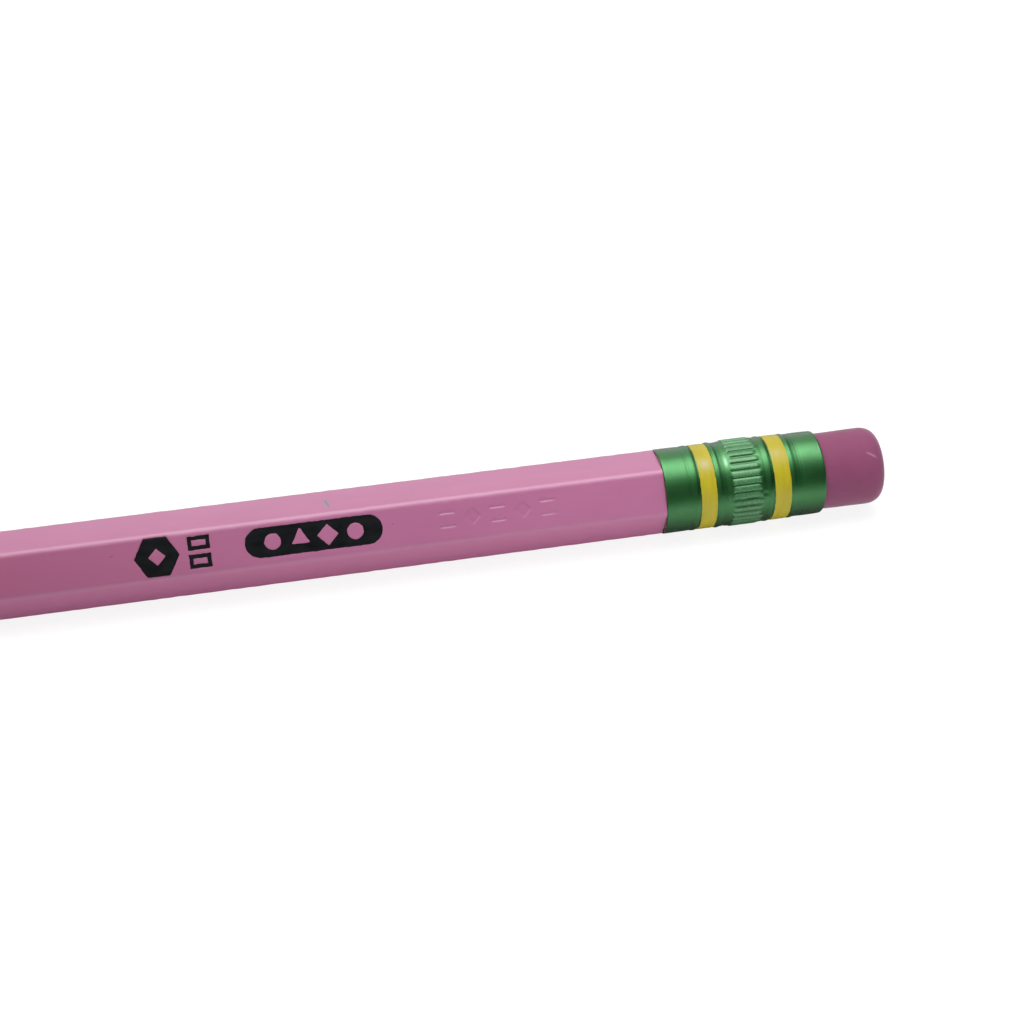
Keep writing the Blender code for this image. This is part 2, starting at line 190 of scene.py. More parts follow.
# Eraser, with its crease's ends as mm from the ferrule's front and degrees round the axis
ERASER_RADIUS = 3.49 * MM
ERASER_RIM = (1.3 * MM, 0.95 * MM)  # reach and drop of its rounded rim
RIM_START = ERASER_HIGH.x - ERASER_RIM[0]
ERASER_WAVES = 0.010 * MM
CREASE_ENDS = ((19.10, 128.5), (19.60, 134.0))
CREASE_DEPTH = 0.03 * MM
CREASE_LIP = 0.012 * MM

STAGE = bpy.context.scene.collection.objects
rng = np.random.default_rng(7)


# Meshes

def finish_mesh(name, mesh, material, node, sharp_degrees=32):
    """Shades a new mesh and lets it ride in place of a CAD node."""
    mesh.materials.append(material)
    mesh.shade_smooth()
    mesh.set_sharp_from_angle(angle=math.radians(sharp_degrees))
    piece = bpy.data.objects.new(name, mesh)
    STAGE.link(piece)
    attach(piece, "root")
    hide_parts(node)
    return piece


def loft(name, rings, wrap=False):
    """A closed mesh through rings of points that turn from +Y to +Z, front ring first.

    A wrapped loft joins its last ring to its first; otherwise each end closes on a point.
    """
    rings = np.asarray(rings)
    count, columns = rings.shape[:2]
    ring = np.arange(count if wrap else count - 1)[:, None]
    column = np.arange(columns)[None, :]
    after = (column + 1) % columns
    above = (ring + 1) % count
    corners = (
        ring * columns + column,
        ring * columns + after,
        above * columns + after,
        above * columns + column,
    )
    faces = np.stack(np.broadcast_arrays(*corners), -1).reshape(-1, 4).tolist()
    points = rings.reshape(-1, 3)
    if not wrap:
        ends = [rings[0].mean(0), rings[-1].mean(0)]
        front, rear = len(points), len(points) + 1
        last = (count - 1) * columns
        points = np.vstack([points, ends])
        faces += [(front, (j + 1) % columns, j) for j in range(columns)]
        faces += [(rear, last + j, last + (j + 1) % columns) for j in range(columns)]
    mesh = bpy.data.meshes.new(name)
    mesh.from_pydata(points.tolist(), [], faces)
    return mesh


def tag_points(mesh, label, values):
    """Stores one number per point for a material to read; points past the end get 0."""
    padded = np.zeros(len(mesh.vertices), np.float32)
    padded[: len(values)] = values
    attribute = mesh.attributes.new(label, "FLOAT", "POINT")
    attribute.data.foreach_set("value", padded)


def polar(x, radius, angle):
    """Points from grids of x, radius and angle round the axis."""
    x, radius, angle = np.broadcast_arrays(x, radius, angle)
    return np.stack([x, radius * np.cos(angle), radius * np.sin(angle)], -1)


def smoothstep(low, high, value):
    share = np.clip((value - low) / (high - low), 0.0, 1.0)
    return share * share * (3 - 2 * share)


def relief(x, angle, wavelengths, harmonics, waves=7):
    """Smooth random relief that closes on itself round the axis.

    A sum of waves seldom passes 1.6 square roots of their count, so this stays near -1 to 1.
    """
    total = np.zeros(np.broadcast(x, angle).shape)
    for _ in range(waves):
        wavelength = rng.uniform(*wavelengths)
        harmonic = rng.integers(harmonics[0], harmonics[1] + 1)
        phase = rng.uniform(0, TURN)
        total += np.sin(TURN * x / wavelength + harmonic * angle + phase)
    return total / math.sqrt(waves) / 1.6


def even_rows(radius_at, start, end, count, emphasis):
    """Places along a profile, closer together where its radius changes."""
    fine = np.linspace(start, end, 4000)
    rise = np.abs(np.diff(radius_at(fine))) * emphasis
    travelled = np.concatenate([[0.0], np.cumsum(np.hypot(np.diff(fine), rise))])
    return np.interp(np.linspace(0, travelled[-1], count), travelled, fine)


# Barrel shapes

def hexagon_radius(angle, half_flats, corner):
    """Distance from the axis to a hexagon with round corners and flats up and down."""
    off = np.abs(np.mod(angle, TURN / 6) - TURN / 12)
    centre = (half_flats - corner) / COS30
    turn = TURN / 12 - off
    on_corner = centre * np.cos(turn) + np.sqrt(corner**2 - (centre * np.sin(turn)) ** 2)
    flat_end = math.atan((half_flats - corner) * TAN30 / half_flats)
    return np.where(off < flat_end, half_flats / np.cos(off), on_corner)


def coat_radius(angle):
    """Distance from the axis to the coat: a hexagon whose flats are slightly crowned."""
    crowned = ((1 + np.cos(6 * angle)) / 2) ** 1.5
    return hexagon_radius(angle, COAT_HALF, COAT_CORNER) - COAT_CROWN * crowned


def cone_x(radius):
    """Where the sharpened cone reaches a radius."""
    return APEX_X + radius / math.tan(POINT_ANGLE)


def cone_radius(x):
    return (x - APEX_X) * math.tan(POINT_ANGLE)


def barrel_columns(printed_steps=56, plain_steps=6, corner_steps=9):
    """Angles round the coat, close together on its corners and its printed flat."""
    flat_end = math.atan((COAT_HALF - COAT_CORNER) * TAN30 / COAT_HALF)
    angles = []
    for flat in range(6):
        middle = TURN / 12 + TURN / 6 * flat
        steps = printed_steps if math.isclose(middle, PRINTED_ANGLE) else plain_steps
        across = np.linspace(-1, 1, steps, endpoint=False) * math.tan(flat_end)
        angles.append(middle + np.arctan(across))
        corner = np.linspace(flat_end, TURN / 6 - flat_end, corner_steps, endpoint=False)
        angles.append(middle + corner)
    return np.concatenate(angles)


def barrel_rows(front, first_mark, last_mark):
    """Places along the coat, close together where marks are pressed into it."""
    before = np.arange(front, first_mark, 0.6 * MM)
    marked = np.arange(first_mark, last_mark, 0.095 * MM)
    after = np.linspace(last_mark, COAT_REAR - 0.03 * MM, 40)
    return np.concatenate([before, marked, after])


# Outlines of the marks, in the printed flat's own plane: x along it and up across it

def ring_outline(radius, sides, start_degrees=0.0, rounding=0.0, arc_steps=4):
    """A regular outline round the origin, with round corners where rounding is given."""
    points = []
    reach = radius - rounding / math.cos(math.pi / sides)
    for side in range(sides):
        facing = math.radians(start_degrees) + TURN * side / sides
        corner = (reach * math.cos(facing), reach * math.sin(facing))
        swing = math.pi / sides if rounding else 0.0
        for step in range(arc_steps + 1 if rounding else 1):
            angle = facing - swing + 2 * swing * step / arc_steps
            points.append(
                (corner[0] + rounding * math.cos(angle), corner[1] + rounding * math.sin(angle))
            )
    return np.array(points)


def stadium_outline(length, width, steps=16):
    points = []
    for end, start in ((1, -math.pi / 2), (-1, math.pi / 2)):
        for step in range(steps + 1):
            angle = start + math.pi * step / steps
            along = end * (length - width) / 2 + width / 2 * math.cos(angle)
            points.append((along, width / 2 * math.sin(angle)))
    return np.array(points)


def finely(outline, spacing=0.09 * MM):
    """Adds points along an outline's sides, so that its edge can be made uneven."""
    points = []
    for start, end in zip(outline, np.roll(outline, -1, axis=0)):
        steps = max(1, round(float(np.linalg.norm(end - start)) / spacing))
        points += [start + (end - start) * step / steps for step in range(steps)]
    return np.array(points)


def roughened(outline, amount):
    """Moves an outline's points in and out a little, as foil edges are uneven."""
    outline = finely(outline)
    side = np.roll(outline, -1, axis=0) - np.roll(outline, 1, axis=0)
    out = np.stack([side[:, 1], -side[:, 0]], -1)
    out /= np.linalg.norm(out, axis=1)[:, None]
    push = rng.normal(0.0, 1.0, len(outline))
    push = (push + np.roll(push, 1) + np.roll(push, -1)) / 3
    return outline + out * (amount * push)[:, None]


def signed_distance(points, outline):
    """Distance from each point to a closed outline, negative inside it."""
    start = outline
    end = np.roll(outline, -1, axis=0)
    edge = end - start
    offset = points[:, None] - start[None]
    along = np.clip((offset * edge).sum(-1) / (edge**2).sum(-1), 0, 1)
    gap = np.linalg.norm(offset - along[..., None] * edge, axis=-1).min(1)
    up = points[:, 1:2]
    spans = (start[:, 1] > up) != (end[:, 1] > up)
    rise = np.where(edge[:, 1] == 0, 1.0, edge[:, 1])
    crossing = start[:, 0] + edge[:, 0] * (up - start[:, 1]) / rise
    inside = (spans & (points[:, :1] < crossing)).sum(1) % 2 == 1
    return np.where(inside, -gap, gap)


def mark_place(node):
    """(x, up) of a foil's middle on the printed flat, and its length and width."""
    low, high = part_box(node)
    middle = (low + high) / 2
    size = high - low
    up = middle.y * 0.5 + middle.z * COS30
    width = (size.z * COS30 - size.y * 0.5) / 0.5
    return np.array([middle.x, up]), size.x, width


def badge_outlines(length, width):
    hexagon = ring_outline(length / 2, 6, 0.0, width * 0.03)
    return [hexagon, ring_outline(width * 0.222, 4, 0.0, width * 0.02)]


def bar_outlines(length, width):
    """A round-ended bar with four plain windows: dot, triangle, diamond, dot."""
    dot = ring_outline(width * 0.277, 28)
    triangle = ring_outline(width * 0.365, 3, 90.0, width * 0.03)
    diamond = ring_outline(width * 0.365, 4, 0.0, width * 0.03)
    windows = [dot, triangle, diamond, dot.copy()]
    pitch = length / 5
    for place, window in enumerate(windows):
        window[:, 0] += pitch * (place - 1.5)
    return [stadium_outline(length, width)] + windows


def box_outline(length, width):
    corners = ((-1, -1), (1, -1), (1, 1), (-1, 1))
    return np.array([(x * length / 2, up * width / 2) for x, up in corners])


def tick_outlines(length, width):
    return [box_outline(length, width), box_outline(length - 0.58 * width, 0.42 * width)]


def foil_designs():
    """Each foil's node with its outlines placed on the printed flat, windows last."""
    shapes = {
        "foil_badge": badge_outlines,
        "foil_tick_upper": tick_outlines,
        "foil_tick_lower": tick_outlines,
        "foil_bar": bar_outlines,
    }
    designs = {}
    for node, draw in shapes.items():
        middle, length, width = mark_place(node)
        designs[node] = [
            roughened(outline, 0.022 * MM) + middle for outline in draw(length, width)
        ]
    return designs


def stamp_outlines(up):
    """The blind row: paired bars and diamonds in turn."""
    middle = FERRULE_FRONT - STAMP_SETBACK
    outlines = []
    for place in (-1, 1):
        diamond = ring_outline(STAMP_DIAMOND_RADIUS, 4, 0.0, 0.1 * MM)
        outlines.append(diamond + (middle + place * STAMP_PITCH, up))
    for place in (-2, 0, 2):
        for side in (-1, 1):
            bar = stadium_outline(*STAMP_BAR, 8)
            shift = (middle + place * STAMP_PITCH, up + side * STAMP_BAR_OFFSET)
            outlines.append(bar + shift)
    return outlines


def close_to(points, outline, margin):
    inside = (points > outline.min(0) - margin) & (points < outline.max(0) + margin)
    return np.all(inside, axis=1)


def press_depth(x, up, designs, stamps):
    """How deep the coat is pressed in at each point of the printed flat."""
    points = np.stack([x, up], -1)
    depth = np.zeros(len(points))
    for outlines in designs.values():
        near = close_to(points, outlines[0], 2 * PRESS_EDGE)
        beyond = signed_distance(points[near], outlines[0])
        for window in outlines[1:]:
            beyond = np.maximum(beyond, -signed_distance(points[near], window))
        depth[near] += PRESS_DEPTH * smoothstep(PRESS_EDGE, 0.0, beyond)
    for outline in stamps:
        near = close_to(points, outline, 2 * STAMP_EDGE)
        beyond = signed_distance(points[near], outline)
        depth[near] += STAMP_DEPTH * smoothstep(STAMP_EDGE / 2, -STAMP_EDGE / 2, beyond)
    return depth


# Pieces

def lacquer_coat(material, designs):
    """The coat: scalloped where the sharpener cut it, pressed in under every mark."""
    angle = barrel_columns()
    outer = coat_radius(angle)
    inner = outer - COAT_THICKNESS
    chips = relief(0.0, angle, (1.0, 2.0), (9, 80), waves=14)
    cut_outer = cone_x(outer) + CHIP_SIZE * chips
    cut_inner = cone_x(inner)
    front = cut_outer.min()
    first_mark = designs["foil_badge"][0][:, 0].min() - 0.3 * MM
    last_mark = FERRULE_FRONT - STAMP_SETBACK + 2.2 * STAMP_PITCH
    rows = barrel_rows(front, first_mark, last_mark)
    share = np.clip(1 - (rows - front) / SCALLOP_REACH, 0, 1)[:, None]
    x = rows[:, None] + share * (cut_outer - front)

    corner_share = smoothstep(COAT_HALF, COAT_HIGH.y, outer)
    wander = relief(x, angle, (4 * MM, 16 * MM), (1, 5))
    wobble = relief(x, angle, (0.9 * MM, 5 * MM), (1, 7), waves=11)
    radius = outer + FLAT_WAVES * wander + CORNER_WAVES * corner_share * (wobble - 1)
    surface = polar(x, radius, angle)
    printed = np.abs(angle - PRINTED_ANGLE) < TURN / 12
    tilt = angle[printed] - PRINTED_ANGLE
    up = -radius[:, printed] * np.sin(tilt)
    stamps = stamp_outlines(designs["foil_bar"][0][:, 1].mean())
    depth = press_depth(x[:, printed].ravel(), up.ravel(), designs, stamps).reshape(up.shape)
    surface[:, printed] -= depth[..., None] * np.array([0.0, -COS30, 0.5])

    rear_round = 0.03 * MM
    rear_outer = polar(COAT_REAR, outer - rear_round, angle)
    rear_inner = polar(COAT_REAR, inner, angle)
    middle_inner = polar((COAT_REAR + front) / 2, inner, angle)
    front_inner = polar(cut_inner, inner, angle)
    layers = [surface, rear_outer[None], rear_inner[None], middle_inner[None], front_inner[None]]
    mesh = loft("lacquer_coat", np.concatenate(layers), wrap=True)
    cut = np.zeros(len(mesh.vertices))
    cut[-len(angle):] = 1.0
    tag_points(mesh, "cut", cut)
    return finish_mesh("barrel_lacquer", mesh, material, "lacquer_coat")


def fall_from_flat(up):
    """How far the coat has curved down from its flat's plane, up from its middle."""
    tilt = np.linspace(0, TURN / 12, 600)
    radius = coat_radius(tilt + PRINTED_ANGLE)
    return COAT_HALF - float(np.interp(abs(up), radius * np.sin(tilt), radius * np.cos(tilt)))


def cut_across(bm, up):
    """Adds a line of points across a flat sheet, where it will bend."""
    everything = bm.verts[:] + bm.edges[:] + bm.faces[:]
    bmesh.ops.bisect_plane(bm, geom=everything, plane_co=(0, up, 0), plane_no=(0, 1, 0))


def foil_film(node, outlines, material):
    """A thin film that lies on the floor of its pressed recess, open at its windows."""
    bm = bmesh.new()
    for outline in outlines:
        corners = [bm.verts.new((x, up, 0.0)) for x, up in outline]
        for one, other in zip(corners, corners[1:] + corners[:1]):
            bm.edges.new((one, other))
    bmesh.ops.triangle_fill(bm, use_beauty=True, edges=bm.edges[:])
    for place in np.arange(-2.0 * MM, 2.0 * MM, 0.08 * MM):
        cut_across(bm, place)
    sheet = bmesh.ops.extrude_face_region(bm, geom=bm.faces[:], use_keep_orig=True)
    raised = [item for item in sheet["geom"] if isinstance(item, bmesh.types.BMVert)]
    bmesh.ops.translate(bm, verts=raised, vec=(0.0, 0.0, FILM_THICKNESS))
    bmesh.ops.recalc_face_normals(bm, faces=bm.faces)
    for corner in bm.verts:
        corner.co.z -= fall_from_flat(corner.co.y)
    height = COAT_HALF - PRESS_DEPTH + FILM_GAP
    lean = Matrix.Rotation(math.radians(60), 4, "X")
    bmesh.ops.transform(bm, matrix=lean @ Matrix.Translation((0, 0, height)), verts=bm.verts)
    mesh = bpy.data.meshes.new(node)
    bm.to_mesh(mesh)
    bm.free()
    return finish_mesh(f"printed_{node}", mesh, material, node)


def slat_ring(x, reach, outer_columns=97, groove_columns=25):
    """One section of the upper slat: its outer arc, then back along the groove."""
    mid = np.linspace(0, math.pi, outer_columns)
    rough_radius = np.minimum(hexagon_radius(mid, WOOD_HALF, WOOD_CORNER), reach)
    start = math.asin(PARTING_FACE / rough_radius[0])
    angle = np.linspace(start, math.pi - start, outer_columns)
    radius = np.minimum(hexagon_radius(angle, WOOD_HALF, WOOD_CORNER), reach)
    groove_start = math.asin(PARTING_FACE / GROOVE_RADIUS)
    groove = np.linspace(math.pi - groove_start, groove_start, groove_columns)
    return np.vstack([polar(x, radius, angle), polar(x, GROOVE_RADIUS, groove)])


def wood_slat(node, side, material):
    """Half of the casing, with the marks that a sharpener's blade leaves on its cone."""
    widest = cone_x(SLAT_HIGH.y)
    cone_rows = np.linspace(SLAT_LOW.x + 0.05 * MM, widest, 130)
    rings = []
    for x in cone_rows:
        chatter = FINE_MARKS[0] * math.sin(TURN * x / FINE_MARKS[1])
        chatter += BROAD_MARKS[0] * math.sin(TURN * x / BROAD_MARKS[1] + side)
        reach = max(cone_radius(x) - BLADE_DEPTH + chatter, GROOVE_RADIUS + 0.005 * MM)
        rings.append(slat_ring(x, reach))
    whole = 2 * SLAT_HIGH.y
    rings += [
        slat_ring(widest + 0.2 * MM, whole),
        slat_ring(COAT_REAR, whole),
        slat_ring(COAT_REAR + 0.005 * MM, TENON_RADIUS),
        slat_ring(SLAT_HIGH.x, TENON_RADIUS),
    ]
    rings = np.array(rings)
    if side < 0:
        rings[..., 2] *= -1
        rings = rings[:, ::-1]
    mesh = slat_mesh(node, rings)
    return finish_mesh(f"cedar_{node}", mesh, material, node)


def slat_mesh(name, rings):
    """Joins slat sections; each end is closed by a strip from its arc to its groove."""
    count, columns = rings.shape[:2]
    mesh = loft(name, rings)
    bm = bmesh.new()
    bm.from_mesh(mesh)
    bm.verts.ensure_lookup_table()
    poles = [bm.verts[count * columns], bm.verts[count * columns + 1]]
    bmesh.ops.delete(bm, geom=poles, context="VERTS")
    bm.verts.ensure_lookup_table()
    for ring, flip in ((0, True), (count - 1, False)):
        corners = [bm.verts[ring * columns + j] for j in range(columns)]
        face = bm.faces.new(corners[::-1] if flip else corners)
        bmesh.ops.triangulate(bm, faces=[face])
    bm.to_mesh(mesh)
    bm.free()
    return mesh


def graphite_core(material):
    """The lead, turned by the sharpener to a fine blunt point."""
    angle = np.linspace(0, TURN, 96, endpoint=False)
    ball_x = CORE_LOW.x + TIP_RADIUS
    swing = np.linspace(math.pi / 2, POINT_ANGLE, 9)[1:]
    rows = [(ball_x - TIP_RADIUS * math.sin(a), TIP_RADIUS * math.cos(a)) for a in swing]
    cone_rows = np.linspace(rows[-1][0] + 0.03 * MM, cone_x(CORE_RADIUS), 60)
    rows += [(x, cone_radius(x)) for x in cone_rows]
    rows += [(x, CORE_RADIUS) for x in np.linspace(cone_x(CORE_RADIUS) + MM, CORE_HIGH.x, 12)]
    x, radius = (np.array(column)[:, None] for column in zip(*rows))
    worn = relief(x, angle, (0.3 * MM, 1.5 * MM), (1, 4)) - 1.0
    radius = radius + 0.004 * MM * worn * smoothstep(0.0, 0.4 * MM, radius)
    mesh = loft("graphite_core", polar(x, radius, angle))
    return finish_mesh("graphite_lead", mesh, material, "graphite_core")


def ferrule_radius(x):
    """The ferrule's smooth outer radius in mm, x mm from its front edge."""
    places, radii = zip(*FERRULE_BASE)
    radius = np.interp(x, places, radii)
    for centre, half_width, height in FERRULE_BEADS:
        reach = np.clip((x - centre) / half_width, -1, 1)
        radius = radius + height * np.cos(reach * math.pi / 2)
    for line in SCORE_LINES:
        reach = np.clip((x - line) / SCORE_HALF_WIDTH, -1, 1)
        radius = radius - SCORE_DEPTH * (1 - reach**2) ** 2
    return radius


def ferrule_columns(per_pad=14):
    """Angles round the ferrule, closer together at each groove between two pads."""
    share = np.arange(per_pad) / per_pad
    share = share - 0.55 * np.sin(TURN * share) / TURN
    pads = np.arange(PAD_COUNT)[:, None] + share[None, :]
    return FIRST_GROOVE_ANGLE + TURN * pads.ravel() / PAD_COUNT


def pad_relief(x, angle):
    """Height of the rolled pads over the bulge in mm, and how much is pad, 0 to 1."""
    place = (angle - FIRST_GROOVE_ANGLE) / TURN * PAD_COUNT
    pad = np.floor(place + 1e-6).astype(int) % PAD_COUNT
    share = np.mod(place + 1e-6, 1.0)
    off = np.abs(share - 0.5)
    pitch = TURN * PAD_RADIUS / PAD_COUNT
    from_groove = (0.5 - off) * pitch
    starts = PAD_SPAN[0] + rng.normal(0, 0.03, PAD_COUNT)[pad]
    ends = PAD_SPAN[1] + rng.normal(0, 0.07, PAD_COUNT)[pad]
    heights = 1 - 0.18 * rng.random(PAD_COUNT)[pad]
    crown = 0.25 + 0.75 * np.sin(share * math.pi * 0.6)
    solid = smoothstep(GROOVE_HALF_WIDTH * 0.35, GROOVE_HALF_WIDTH * 1.6, from_groove)
    front = smoothstep(-0.03, 0.10, x - starts - 0.05 * (off / 0.5) ** 2)
    rear = smoothstep(0.02, 0.42, ends + 0.10 - x - 0.22 * (off / 0.5) ** 2)
    extent = front * rear
    height = extent * (PAD_RISE * solid * crown * heights - GROOVE_DEPTH * (1 - solid))
    return height, extent * solid


def knock(x, angle, centre, degrees, half_length, half_width):
    """A shallow knock in the ferrule, 0 to 1, with its sizes in mm."""
    across = (angle - math.radians(degrees)) * PAD_RADIUS
    return np.exp(-((x - centre) / half_length) ** 2 - (across / half_width) ** 2)


def ferrule(material):
    """The outside, from front to rear, then the curled lip and back along the bore."""
    angle = ferrule_columns()
    rows = even_rows(ferrule_radius, 0.0, FERRULE_BASE[-1][0], 158, emphasis=7)[:, None]
    pads, padded = pad_relief(rows, angle)
    handling = relief(rows * MM, angle, (2 * MM, 7 * MM), (2, 9))
    knocks = sum(knock(rows, angle, *sizes) for sizes in KNOCKS)
    radius = ferrule_radius(rows) + pads + HANDLING_WAVES * (handling - 1) - KNOCK_DEPTH * knocks
    outer = polar(FERRULE_FRONT + rows * MM, radius * MM, angle)
    mesh = loft("ferrule", np.concatenate([outer, ferrule_inside(angle)]), wrap=True)
    tag_points(mesh, "pad", padded.ravel())
    tag_ferrule_wear(mesh, rows, angle, radius)
    return finish_mesh("fluted_ferrule", mesh, material, "ferrule", 50)


def ferrule_inside(angle):
    turn = np.linspace(0, math.pi / 2, 9)[1:, None]
    curl_x = FERRULE_LENGTH - CURL_RADIUS + CURL_RADIUS * np.sin(turn)
    curl_base = FERRULE_BASE[-1][1] * MM - CURL_RADIUS
    curl = polar(FERRULE_FRONT + curl_x, curl_base + CURL_RADIUS * np.cos(turn), angle)
    bore = (
        (FERRULE_LENGTH, LIP_RADIUS),
        (FERRULE_LENGTH - 0.3 * MM, LIP_RADIUS),
        (FERRULE_LENGTH - 0.6 * MM, BORE_RADIUS),
        (FERRULE_LENGTH / 2, BORE_RADIUS),
        (0.0, BORE_RADIUS),
    )
    inside = np.array([polar(FERRULE_FRONT + x, radius, angle) for x, radius in bore])
    return np.concatenate([curl, inside])


def tag_ferrule_wear(mesh, x, angle, radius):
    """Marks what stands proud of the bulge, a band on its front shoulder that is worn metal and
    painted highlight in one, and what sinks below the bulge, which the finish darkens with painted
    shade.
    """
    smooth = np.broadcast_to(ferrule_radius(x), radius.shape)
    proud = smoothstep(0.012, 0.045, radius - np.minimum(smooth, 3.9))
    # The front shoulder's band: worn metal and painted highlight in one, broken into patches
    shoulder = smoothstep(5.55, 5.80, x) * smoothstep(6.30, 6.05, x)
    sheen_patches = np.clip(0.7 + 0.6 * relief(x, angle, (2.0, 4.0), (7, 40)), 0, 1)
    proud = np.maximum(proud, shoulder * sheen_patches)
    tag_points(mesh, "proud", proud.ravel())
    tag_points(mesh, "pooled_lacquer_and_shade", smoothstep(0.0, 0.05, smooth - radius).ravel())


def enamel_band(node, material):
    """A brushed-on ring of enamel, crowned by surface tension, with uneven edges."""
    low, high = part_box(node)
    low.x += BAND_INSET
    angle = np.linspace(0, TURN, 288, endpoint=False)
    across = np.linspace(-1, 1, 17)[:, None]
    front_edge = relief(0.0, angle, (1, 2), (5, 40), waves=10)
    rear_edge = relief(0.0, angle, (1, 2), (5, 40), waves=10)
    wander = BAND_EDGE_WANDER * np.where(across < 0, -across * front_edge, across * rear_edge)
    x = (low.x + high.x) / 2 + across * (high.x - low.x) / 2 + wander
    drop = BAND_EDGE_DROP * np.abs(across) ** 5
    flow = BAND_FLOW * (relief(x, angle, (0.8 * MM, 3 * MM), (3, 20)) - 1)
    outer = polar(x, high.z - drop + flow, angle)
    under = high.z - BAND_THICKNESS
    inner = [polar(x[-1], under, angle), polar(x[0], under, angle)]
    mesh = loft(node, np.concatenate([outer, inner]), wrap=True)
    return finish_mesh(f"painted_{node}", mesh, material, node, 45)


def eraser_radius(x):
    """The plug's radius at x: plain inside the ferrule, slightly swollen outside it."""
    swollen = ERASER_HIGH.z
    share = smoothstep(FERRULE_HIGH.x - 0.3 * MM, RIM_START, x)
    swell = ERASER_RADIUS + (swollen - ERASER_RADIUS) * share
    reach = np.clip((x - RIM_START) / ERASER_RIM[0], 0, 1)
    return swell - ERASER_RIM[1] * (1 - np.sqrt(1 - reach**2))


def crease_depth(x, angle):
    """A short cut in the rubber: its depth, and its raised pale lip, each 0 to 1."""
    around = ERASER_HIGH.z / MM
    ends = [np.array([place, math.radians(turn) * around]) for place, turn in CREASE_ENDS]
    point = np.stack(np.broadcast_arrays((x - FERRULE_FRONT) / MM, angle * around), -1)
    line = ends[1] - ends[0]
    length = np.linalg.norm(line)
    along = ((point - ends[0]) @ line) / length**2
    nearest = np.clip(along, 0, 1)[..., None] * line + ends[0]
    gap = np.linalg.norm(point - nearest, axis=-1)
    side = (point - ends[0]) @ np.array([-line[1], line[0]]) / length
    cut = np.exp(-((gap / 0.07) ** 2))
    lip = np.exp(-(((side - 0.12) / 0.09) ** 2)) * np.exp(-((gap / 0.22) ** 2))
    return cut, lip


def eraser_plug(material):
    angle = np.linspace(0, TURN, 256, endpoint=False)
    hidden = np.linspace(ERASER_LOW.x, FERRULE_HIGH.x - 0.4 * MM, 6, endpoint=False)
    open_side = np.linspace(FERRULE_HIGH.x - 0.4 * MM, RIM_START, 52, endpoint=False)
    swing = np.linspace(0, math.pi / 2, 24)
    rounded = RIM_START + ERASER_RIM[0] * np.sin(swing)
    x = np.concatenate([hidden, open_side, rounded])
    radius = eraser_radius(x)[:, None]
    x = x[:, None]
    cut, lip = crease_depth(x, angle)
    worn = relief(x, angle, (1.5 * MM, 6 * MM), (1, 6)) - 1
    radius = radius + ERASER_WAVES * worn - CREASE_DEPTH * cut + CREASE_LIP * lip
    side = polar(x, radius, angle)
    face_radius = (ERASER_HIGH.z - ERASER_RIM[1]) * np.linspace(1, 0, 12)[1:-1, None]
    scuff = relief(face_radius * 6, angle, (3 * MM, 9 * MM), (1, 4)) - 1
    face = polar(ERASER_HIGH.x + 0.006 * MM * scuff, face_radius, angle)
    mesh = loft("eraser_plug", np.concatenate([side, face]))
    pale = np.concatenate([(lip + 0.3 * cut).ravel(), np.zeros(face.shape[0] * len(angle))])
    tag_points(mesh, "crease", pale)
    return finish_mesh("rubber_eraser", mesh, material, "eraser_plug", 40)


# Materials

class Nodes:
    """A node tree that is built by short calls.

    A kind leaves out "ShaderNode". A keyword or number names an input, with underscores
    for spaces, and holds a value or a socket.
    """

    def __init__(self, tree):
        self.tree = tree

    def feed(self, node, inputs):
        for label, value in inputs.items():
            socket = node.inputs[label if isinstance(label, int) else label.replace("_", " ")]
            if isinstance(value, bpy.types.NodeSocket):
                self.tree.links.new(value, socket)
            elif isinstance(value, tuple) and len(value) == 3 and socket.type == "RGBA":
                socket.default_value = (*value, 1.0)
            else:
                socket.default_value = value

    def add(self, kind, settings=None, numbered=None, **inputs):
        node = self.tree.nodes.new("ShaderNode" + kind)
        for label, value in (settings or {}).items():
            setattr(node, label, value)
        self.feed(node, numbered or {})
        self.feed(node, inputs)
        return node

    def math(self, operation, first, second=0.0):
        made = self.add("Math", {"operation": operation}, {0: first, 1: second})
        return made.outputs[0]

    def times(self, first, second):
        return self.math("MULTIPLY", first, second)

    def vector(self, operation, first, second=(0.0, 0.0, 0.0)):
        made = self.add("VectorMath", {"operation": operation}, {0: first, 1: second})
        return made.outputs["Value" if operation == "LENGTH" else "Vector"]

    def part(self, vector, axis):
        return self.add("SeparateXYZ", None, {0: vector}).outputs[axis]

    def remap(self, value, low, high, to_low=0.0, to_high=1.0):
        made = self.add(
            "MapRange",
            Value=value,
            From_Min=low,
            From_Max=high,
            To_Min=to_low,
            To_Max=to_high,
        )
        return made.outputs["Result"]


